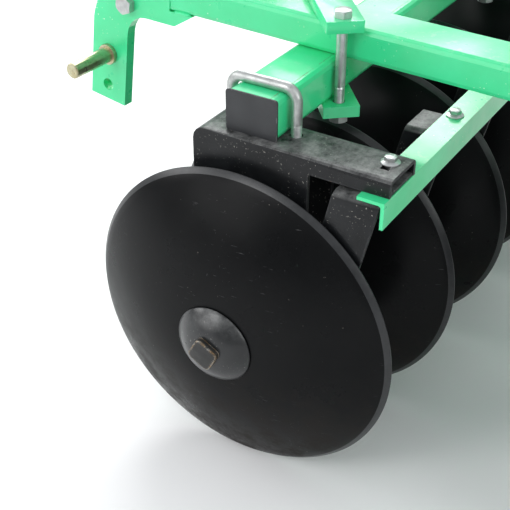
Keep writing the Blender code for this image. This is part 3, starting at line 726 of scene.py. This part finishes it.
for gang, place in GANGS.items():
    for end in ("outer", "inner"):
        low, high = local_box(f"{gang}_{end}_ubolt", gang)
        top_of_bracket = local_box(f"{gang}_{end}_bracket", gang)[1].z
        x, half, top = (low.x + high.x) / 2, high.y - ROD, high.z - ROD
        start_z = top_of_bracket + UBOLT_THREAD
        path = [Vector((x, -half, start_z))]
        for sign, first in ((-1, 180), (1, 90)):
            for k in range(13):
                a = math.radians(first - 90 * k / 12)
                path.append(Vector((x, sign * (half - UBOLT_BEND) + UBOLT_BEND * math.cos(a),
                                    top - UBOLT_BEND + UBOLT_BEND * math.sin(a))))
        path.append(Vector((x, half, start_z)))
        bar = swept(path, ROD)
        for y in (-half, half):
            leg = [(low.z, 0), (low.z, ROD * 0.8)] + threaded(ROD, low.z + 0.001, start_z)
            leg += [(start_z + 0.001, ROD * 0.98), (start_z + 0.001, 0)]
            at = Matrix.Translation((x, y, 0))
            join(bar, turned(leg, 28), at @ UPRIGHT)
            below = Matrix.Translation((x, y, top_of_bracket - BRACKET_SHEET))
            under = below @ Matrix.Rotation(math.pi, 4, "X")
            washer = turned([(0.0002, 0), (0.0002, WASHER_R), (WASHER_T, WASHER_R), (WASHER_T, 0)], 40)
            join(bar, washer, under @ UPRIGHT)
            join(bar, hexagon(UBOLT_NUT_R, WASHER_T + 0.0001, WASHER_T + UBOLT_NUT_H), under)
        piece = finish_piece(f"{gang}_{end}_ubolt_bar", bar, "frame", [ZINC], place, 45)
        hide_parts(f"{gang}_{end}_ubolt")
print("four U-bolts swept, threaded and nutted")

# %% [markdown]
# ## Arm floors and tube caps
# The rear arm of a bracket is closed underneath by a flat strip, so the arm is a box where the scraper
# bar is bolted to it. The tube caps are moulded square, a touch fuller than the rolled corners of the
# tube that they close, so they are redrawn with tight corners and a softened front edge.

# %% Arm floors and tube caps
ARM_START, ARM_FLOOR_T, ARM_WALL = 0.100, 0.005, 0.0062
CAP_T, CAP_CORNER, CAP_ROUND = 0.0047, 0.0040, 0.0014
for gang, place in GANGS.items():
    for end in ("outer", "inner"):
        low, high = local_box(f"{gang}_{end}_bracket", gang)
        bar_top = local_box(f"{gang}_scraper_bar", gang)[1].z
        x1, x2, y2 = low.x + ARM_WALL, high.x - ARM_WALL, high.y - 0.001
        strip = extruded([(x1, ARM_START), (x2, ARM_START), (x2, y2), (x1, y2)],
                         bar_top + CLEAR, bar_top + CLEAR + ARM_FLOOR_T)
        finish_piece(f"{gang}_{end}_arm_floor", strip, "frame", [BLACK], place, 30)
        node = f"{gang}_{end}_cap"
        low, high = local_box(node, gang)
        face = high.x if end == "outer" else low.x
        back = face - CAP_T if end == "outer" else face + CAP_T
        half_y = (high.y - low.y) / 2
        square = [(half_y, high.z), (-half_y, high.z), (-half_y, low.z), (half_y, low.z)]
        plate = bmesh.new()
        rings = [[plate.verts.new((x, y, z)) for y, z in square] for x in (back, face)]
        plate.faces.new(rings[0])
        plate.faces.new(rings[1])
        for i in range(4):
            plate.faces.new((rings[0][i], rings[0][i - 1], rings[1][i - 1], rings[1][i]))
        corners = [e for e in plate.edges if abs(e.verts[0].co.x - e.verts[1].co.x) > 0.001]
        round_edges(plate, corners, CAP_CORNER, 4)
        rims = [e for e in plate.edges if all(abs(v.co.x - face) < 1e-6 for v in e.verts)]
        round_edges(plate, rims, CAP_ROUND, 3)
        cap = finish_piece(f"{node}_plate", plate, "frame", [CAP], place, 30)
        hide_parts(node)
print("arm floors and tube caps placed")

# %% [markdown]
# ## Tube seams
# Welded tube has a seam along one face. Paint never quite hides it: it shows as a fine raised line with
# rust starting in it. Here it runs along the top of each gang beam near its rear corner.

# %% Tube seams


def seam_finish():
    n = Nodes("tube_seam", 0.5)
    broken = n.ramp(n.noise(120, 5, 0.7), 0.46, 0.56)
    n.colour(n.mix(broken, (0.046, 0.72, 0.30), (0.20, 0.17, 0.07)))
    n.bump(n.noise(300, 3), 0.3, 0.0006)
    return n.material


SEAM = seam_finish()
SEAM_INSET, SEAM_STEPS, SEAM_WAVE = 0.0125, 160, 0.00012
SEAM_SHAPE = ((-0.0006, -0.0004), (-0.0003, 0.00022), (0.0003, 0.00022), (0.0006, -0.0004))
for gang, place in GANGS.items():
    low, high = local_box(f"{gang}_beam", gang)
    bm = bmesh.new()
    rings = []
    for k in range(SEAM_STEPS + 1):
        x = low.x + (high.x - low.x) * k / SEAM_STEPS
        y = high.y - SEAM_INSET + SEAM_WAVE * math.sin(k * 1.7)
        rings.append([bm.verts.new((x, y + across, high.z + up)) for across, up in SEAM_SHAPE])
    for ring, after in zip(rings, rings[1:]):
        for i in range(4):
            bm.faces.new((ring[i], ring[i - 1], after[i - 1], after[i]))
    bm.faces.new(rings[0])
    bm.faces.new(rings[-1])
    finish_piece(f"{gang}_beam_seam", bm, "frame", [SEAM], place, 30)
print("tube seams laid")

# %% [markdown]
# ## Crossing clamps
# Where a rail crosses a gang beam, two thick straps lie across the corner and two long bolts draw them
# together. Slackening them lets the gang be swung to another angle. The lower strap is kept from the
# model. The upper one is redrawn with rounded corners, and its bolts get a smooth shank, a thread and
# a nut below.

# %% Crossing clamps


CLAMP_T, CLAMP_W, CLAMP_END = 0.018, 0.055, 0.020
CLAMP_CLEAR_RAIL, CLAMP_CLEAR_BEAM = 0.017, 0.011
CLAMP_HEAD_R, CLAMP_HEAD_H, CLAMP_ROD = 0.0138, 0.0105, 0.0079
RAIL_HALF = (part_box("left_rail")[1].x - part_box("left_rail")[0].x) / 2
for gang, place in GANGS.items():
    for hand in ("left", "right"):
        upper, lower = f"{gang}_{hand}_clamp_upper", f"{gang}_{hand}_clamp_lower"
        low, high = local_box(upper, gang)
        under, _ = local_box(lower, gang)
        middle = (low + high) / 2
        beam_low, beam_high = local_box(f"{gang}_beam", gang)
        reach = Vector((RAIL_HALF + CLAMP_CLEAR_RAIL, (beam_high.y - beam_low.y) / 2 + CLAMP_CLEAR_BEAM))
        turn = math.atan2(reach.y, reach.x)
        half = reach.length
        seat = Matrix.Translation((middle.x, middle.y, 0)) @ Matrix.Rotation(turn, 4, "Z")
        strap_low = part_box(f"{hand}_rail")[1].z - place.translation.z + CLEAR
        stretch = half + CLAMP_END - CLAMP_W / 2
        outline = [(x + math.copysign(stretch, x), y) for x, y in rounded_square(CLAMP_W / 2, 0.003, 3)]
        strap = extruded(outline, strap_low, strap_low + CLAMP_T)
        sharp = [e for e in strap.edges if abs(e.verts[0].co.z - e.verts[1].co.z) < 1e-6]
        round_edges(strap, sharp, 0.0009, 2)
        strap = finish_piece(f"{upper}_strap", strap, "frame", [GREEN], place @ seat, 30)
        bolts = bmesh.new()
        grip = strap_low + CLAMP_T - under.z
        for side in (-1, 1):
            spin = Matrix.Rotation(0.35 * side, 4, "Z")
            rod = bolt(CLAMP_HEAD_R, CLAMP_HEAD_H, CLAMP_ROD, grip, 0.0, under.z - low.z - 0.0005)
            join(bolts, rod, Matrix.Translation((side * half, 0, strap_low + CLAMP_T + CLEAR)) @ spin)
        bolts = finish_piece(f"{upper}_bolts", bolts, "frame", [BRIGHT], place @ seat, 35)
        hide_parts(upper)
        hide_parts(upper)
print(f"clamps: bolts {2 * half:.3f} m apart, grip {grip:.3f} m")

# %% [markdown]
# ## Scraper bars
# One angle iron runs the length of each gang and carries a scraper behind every disc. A scraper is a
# strip of flat bar bent once: its foot is bolted under the bar, and its blade hangs down the hollow
# face and leans in towards the axle. The bend is drawn as a quarter circle so that it catches a line
# of light, as a pressed bend does.

# %% Scraper bars
bar_low, bar_high = local_box("front_scraper_bar", "front")
BAR_T, BAR_H, BAR_W = 0.005, 0.040, 0.040
BAR_HEEL = 0.004
BLADE_T, BLADE_W, BLADE_LEAN = 0.006, 0.070, 0.225
BLADE_BACK, BLADE_BEND, BLADE_TIP, BLADE_Y = 0.014, 0.010, 0.075, 0.179
FOOT = 0.060


def angle_bar():
    """Angle iron along X: a flat top leg and a rear leg turned down, with a round heel inside."""
    y1, z1 = bar_high.y, bar_high.z
    outline = [(y1 - BAR_W, z1), (y1 - BAR_W, z1 - BAR_T)]
    for k in range(5):
        t = math.pi / 2 * k / 4
        outline.append((y1 - BAR_T - BAR_HEEL * (1 - math.sin(t)), z1 - BAR_T - BAR_HEEL * (1 - math.cos(t))))
    outline += [(y1 - BAR_T, z1 - BAR_H), (y1, z1 - BAR_H), (y1, z1)]
    bm = between(*([(x, y, z) for y, z in outline] for x in (bar_low.x, bar_high.x - 0.0005)))
    round_edges(bm, [e for e in bm.edges if e.calc_face_angle(0) > 0.8], 0.0008, 2)
    return bm


def pressed_strip(near, top, radius):
    """One face of the bent strip, from the foot round the bend and down to the tip."""
    line = [(near - FOOT - BLADE_T, top), (near - radius, top)]
    for k in range(1, 7):
        t = math.pi / 2 * k / 6
        line.append((near - radius * (1 - math.sin(t)), top - radius * (1 - math.cos(t))))
    return line + [(near, BLADE_TIP)]


def scraper(rim):
    """Bent flat bar: foot under the angle iron, pressed bend, and a leaning blade."""
    top = bar_high.z - BAR_T - CLEAR
    near = rim - BLADE_BACK + BLADE_T / 2
    outer = pressed_strip(near, top, BLADE_BEND)
    inner = pressed_strip(near - BLADE_T, top - BLADE_T, BLADE_BEND - BLADE_T)
    inner[0] = (outer[0][0], inner[0][1])
    loop = outer + inner[::-1]
    rear_stop = bar_high.y - BAR_T - CLEAR
    sides = []
    for sign in (-1, 1):
        edge = BLADE_Y + sign * BLADE_W / 2
        sides.append([(x, min(edge - (top - z) * BLADE_LEAN, rear_stop), z) for x, z in loop])
    bm = between(*sides)
    bm.verts.ensure_lookup_table()
    first = set(bm.verts[:len(loop)])
    round_edges(bm, [e for e in bm.edges if len({v in first for v in e.verts}) == 1], 0.0008, 2)
    return bm


for gang, place in GANGS.items():
    bar = finish_piece(f"{gang}_scraper_angle", angle_bar(), "frame", [GREEN], place, 30)
    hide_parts(f"{gang}_scraper_bar")
    for k in range(DISC_COUNT):
        rim = rim_low.x + SHEET - k * PITCH
        blade = finish_piece(f"{gang}_scraper_{k + 1}", scraper(rim), "frame", [BLACK], place,
                             30)
        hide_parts(f"{gang}_scraper_bar")
print(f"scraper bars {bar_high.x - bar_low.x:.3f} m long, {DISC_COUNT} scrapers each")

# %% [markdown]
# ### Scraper and bracket bolts
# Each scraper foot takes one flange bolt through the bar. Where a bracket arm sits on the bar, the same
# bolt goes through the arm's slot instead, so it stands higher by the height of the arm.

# %% Scraper and bracket bolts
bracket_xs = [sum(c.x for c in local_box(f"front_{end}_bracket", "front")) / 2 for end in ("outer", "inner")]
bracket_top = local_box("front_outer_bracket", "front")[1].z
bolt_y = bar_high.y - BAR_W / 2 - BAR_T / 2
ARM_REACH = 0.035
SCRAPER_BOLT_BACK = 0.0725
for gang, place in GANGS.items():
    bolts = bmesh.new()
    for k in range(DISC_COUNT):
        x = rim_low.x + SHEET - k * PITCH - SCRAPER_BOLT_BACK
        seat_z = bracket_top if min(abs(x - b) for b in bracket_xs) < ARM_REACH else bar_high.z
        grip = seat_z - (bar_high.z - BAR_T - BLADE_T)
        spin = Matrix.Rotation(0.5 + 0.7 * k, 4, "Z")
        where = Matrix.Translation((x, bolt_y - 0.001, seat_z + CLEAR)) @ spin
        join(bolts, bolt(0.0092, 0.0095, 0.0058, grip, 0.0135, 0.006), where)
    finish_piece(f"{gang}_scraper_bolts", bolts, "frame", [BRIGHT], place, 35)
print("scraper bolts placed at", DISC_COUNT, "feet on each gang")

# %% [markdown]
# ## Hitch bolts and link pins
# The mast legs are bolted to the hitch plates by two large bolts each. The link pins keep their modelled
# shape and gain the turned centre mark that a lathe leaves on their ends.

# %% Hitch bolts and pin details
plate_low, plate_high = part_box("left_hitch_plate")
leg_low, leg_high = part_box("left_mast_leg")
rail_low, rail_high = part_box("left_rail")
bolt_at = Vector((0, (leg_low.y + leg_high.y) / 2, rail_low.z - 0.0063))
HITCH_BOLT_LIFT = 0.046
for hand, side in (("left", 1), ("right", -1)):
    outward = Matrix.Rotation(side * math.pi / 2, 4, "Y") @ Matrix.Rotation(0.4, 4, "Z")
    face = side * (plate_high.x + CLEAR)
    grip = plate_high.x - plate_low.x + 0.0125
    bolts = bmesh.new()
    for lift in (0.0, HITCH_BOLT_LIFT):
        at = Matrix.Translation((face, bolt_at.y, bolt_at.z + lift))
        join(bolts, bolt(0.0168, 0.0125, 0.0096, grip, 0.0, 0.012), at @ outward)
    finish_piece(f"{hand}_hitch_bolts", bolts, "frame", [ZINC], smooth=35)
    pin_low, pin_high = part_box(f"{hand}_link_pin")
    centre = (pin_low + pin_high) / 2
    end_x = pin_high.x if side > 0 else pin_low.x
    mark = turned([(0, 0.0), (0, 0.0028), (0.0006, 0.0022), (0.0006, 0)], 20)
    finish_piece(f"{hand}_pin_mark", mark, "frame", [YELLOW_ZINC],
                 Matrix.Translation((end_x, centre.y, centre.z)) @ Matrix.Diagonal((side, 1, 1, 1)),
                 30)
print("hitch bolts and pin ends placed")

# %% [markdown]
# ## Weld beads
# Welds are what tell a fabricated frame from a moulded one. A bead is a row of overlapping ripples, so
# it is swept as a half-round whose radius pulses every few millimetres, with a little unevenness from a
# seeded random source. They sit where the rails meet the hitch plates and cross tubes.

# %% Weld beads
rng = random.Random(7)
RIPPLE = 0.0016
WELD_R, THIN_WELD_R = 0.0032, 0.003


def weld_bead(start, end, radius):
    """Rippled bead between two points."""
    along = end - start
    steps = max(6, int(along.length / RIPPLE))
    axis = along.normalized()
    side = axis.orthogonal().normalized()
    other = axis.cross(side)
    bm = bmesh.new()
    rings = []
    for k in range(steps + 1):
        share = k / steps
        ends = min(1.0, 6 * share + 0.25, 6 * (1 - share) + 0.25)
        size = radius * ends * (0.88 + 0.16 * abs(math.sin(k * 1.15)) + rng.uniform(-0.05, 0.05))
        point = start + along * share
        rings.append([bm.verts.new(point + (side * math.cos(t) + other * math.sin(t)) * size)
                      for t in (2 * math.pi * s / 10 for s in range(10))])
    for ring, after in zip(rings, rings[1:]):
        for s in range(10):
            u = (s + 1) % 10
            bm.faces.new((ring[s], ring[u], after[u], after[s]))
    bm.faces.new(rings[0])
    bm.faces.new(rings[-1])
    return bm


def make_welds():
    beads = bmesh.new()
    for side in (1, -1):
        x_out, inner = side * rail_high.x, side * rail_low.x
        front = rail_low.y
        top, bottom = rail_high.z, rail_low.z
        x_edge, x_under = x_out - side * 0.001, x_out - side * 0.002
        lines = [((x_edge, front, bottom + 0.004), (x_edge, front, top - 0.004)),
                 ((x_out - side * 0.018, front, top - 0.001), (x_out - side * 0.003, front, top - 0.001)),
                 ((x_under, front + 0.008, bottom), (x_under, front + 0.042, bottom))]
        for name in ("front", "middle", "rear"):
            low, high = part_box(f"{name}_cross_tube")
            for y in (low.y + 0.001, high.y - 0.001):
                lines.append(((inner, y, low.z + 0.005), (inner, y, high.z - 0.005)))
            lines.append(((inner, low.y + 0.006, high.z - 0.001), (inner, high.y - 0.006, high.z - 0.001)))
        for start, end in lines:
            join(beads, weld_bead(Vector(start), Vector(end), WELD_R))
    head_low, head_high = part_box("mast_head")
    for sign in (1, -1):
        x = sign * head_high.x
        for y in (head_low.y + 0.001, head_high.y - 0.001):
            start, end = Vector((x, y, head_low.z + 0.004)), Vector((x, y, head_high.z - 0.01))
            join(beads, weld_bead(start, end, THIN_WELD_R))
    foot_low, foot_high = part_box("mast_brace")
    tube_low, tube_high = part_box("middle_cross_tube")
    for x in (foot_low.x, foot_high.x):
        start = Vector((x, tube_low.y + 0.006, tube_high.z))
        end = Vector((x, tube_high.y - 0.004, tube_high.z))
        join(beads, weld_bead(start, end, THIN_WELD_R))
    return finish_piece("weld_beads", beads, "frame", [GREEN], smooth=60)


welds = make_welds()
print("weld beads:", len(welds.data.polygons), "faces")

# %% [markdown]
# ## Grease nipples
# Each bearing has a grease nipple that can be reached from above the bracket's cheek. It is a few
# millimetres of turned steel, but it is what a maintainer looks for first.

# %% Grease nipples
for gang, place in GANGS.items():
    nipples = bmesh.new()
    for end in ("outer", "inner"):
        low, high = local_box(f"{gang}_{end}_bearing", gang)
        shape = [(-0.002, 0), (-0.002, 0.0045), (0.003, 0.0045), (0.003, 0.003), (0.007, 0.0028),
                 (0.008, 0.0036), (0.0105, 0.0022), (0.0105, 0)]
        join(nipples, turned(shape, 24), Matrix.Translation(((low.x + high.x) / 2, 0, high.z)) @ UPRIGHT)
    finish_piece(f"{gang}_grease_nipples", nipples, "frame", [YELLOW_ZINC], place, 35)
print("grease nipples on both gangs")

# %% [markdown]
# ## Floor, light and camera
# A plain pale floor and soft lights show paint honestly: the tops go nearly white with sky, and the
# sides keep their colour. The largest light stands beyond the machine, where the tops mirror it. Two
# small ones to the left, high and low, light the faces that look that way and give the domed washer and
# the disc their soft highlights. One in front picks out the upper part of the ground edge, and one
# behind fills the rear faces. The world is a plain sky that is brighter overhead than at the horizon,
# so upward faces get more of it, as they do outdoors.

# %% Floor and light


def area_light(name, place, aim, size, power):
    data = bpy.data.lights.new(name, "AREA")
    data.shape = "RECTANGLE"
    data.size, data.size_y = size
    data.energy = power
    light = bpy.data.objects.new(name, data)
    light.location = place
    light.rotation_euler = (Vector(aim) - Vector(place)).to_track_quat("-Z", "Y").to_euler()
    scene.collection.objects.link(light)


floor_mesh = bmesh.new()
bmesh.ops.create_grid(floor_mesh, x_segments=2, y_segments=2, size=14)
floor_data = bpy.data.meshes.new("floor")
floor_mesh.to_mesh(floor_data)
floor_mesh.free()
floor = bpy.data.objects.new("floor", floor_data)
scene.collection.objects.link(floor)
floor.location.z = -0.0005
pale = Nodes("studio_floor", 0.7)
pale.colour(pale.mix(pale.ramp(pale.noise(3, 3), 0.3, 0.7), (0.92, 0.92, 0.92), (0.94, 0.94, 0.94)))
floor_data.materials.append(pale.material)

area_light("far_sky", (-2.6, -2.6, 3.1), (0.2, -0.3, 0.4), (2.8, 2.0), 150)
area_light("left_sky", (3.5, -1.3, 2.8), (0.6, -0.3, 0.3), (1.35, 1.15), 27)
area_light("left_low", (3.2, -1.75, 1.3), (0.6, -0.3, 0.4), (1.7, 1.2), 17)
area_light("front_low", (1.5, -3.0, 1.7), (0.6, -0.4, 0.4), (2.0, 1.0), 24)
area_light("rear_fill", (1.2, 3.2, 1.9), (0.3, 0.0, 0.4), (2.4, 1.8), 36)
world = bpy.data.worlds.new("studio")
world.use_nodes = True
world.node_tree.nodes["Background"].inputs["Color"].default_value = (0.94, 0.97, 1.0, 1.0)
sky = world.node_tree
heading = sky.nodes.new("ShaderNodeTexCoord")
height = sky.nodes.new("ShaderNodeSeparateXYZ")
brightness = sky.nodes.new("ShaderNodeMapRange")
for name, value in (("From Min", 0.22), ("From Max", 0.50), ("To Min", 0.27), ("To Max", 0.76)):
    brightness.inputs[name].default_value = value
sky.links.new(heading.outputs["Generated"], height.inputs[0])
sky.links.new(height.outputs["Z"], brightness.inputs["Value"])
sky.links.new(brightness.outputs["Result"], sky.nodes["Background"].inputs["Strength"])
scene.world = world
scene.view_settings.view_transform = "Standard"
print("floor and lights placed")

# %% [markdown]
# The camera looks down at the outer end of the front gang from about chest height, a pace and a half
# away, through a fairly long lens, so the nearest disc is large and the gang runs off behind it.

# %% Camera
camera_data = bpy.data.cameras.new("camera")
camera_data.sensor_width = 36.0
camera_data.lens = 73.14
camera_data.clip_start = 0.05
camera = bpy.data.objects.new("camera", camera_data)
HEADING, PITCH_DOWN, ROLL = -144.927, 34.091, 0.09
camera.location = (1.5525, 0.42052, 1.2171)
turn_z = Matrix.Rotation(math.radians(HEADING - 90), 4, "Z")
tilt = Matrix.Rotation(math.radians(90 - PITCH_DOWN), 4, "X")
camera.rotation_euler = (turn_z @ tilt @ Matrix.Rotation(math.radians(ROLL), 4, "Z")).to_euler()
scene.collection.objects.link(camera)
scene.camera = camera
print("camera", round(camera_data.lens, 1), "mm")
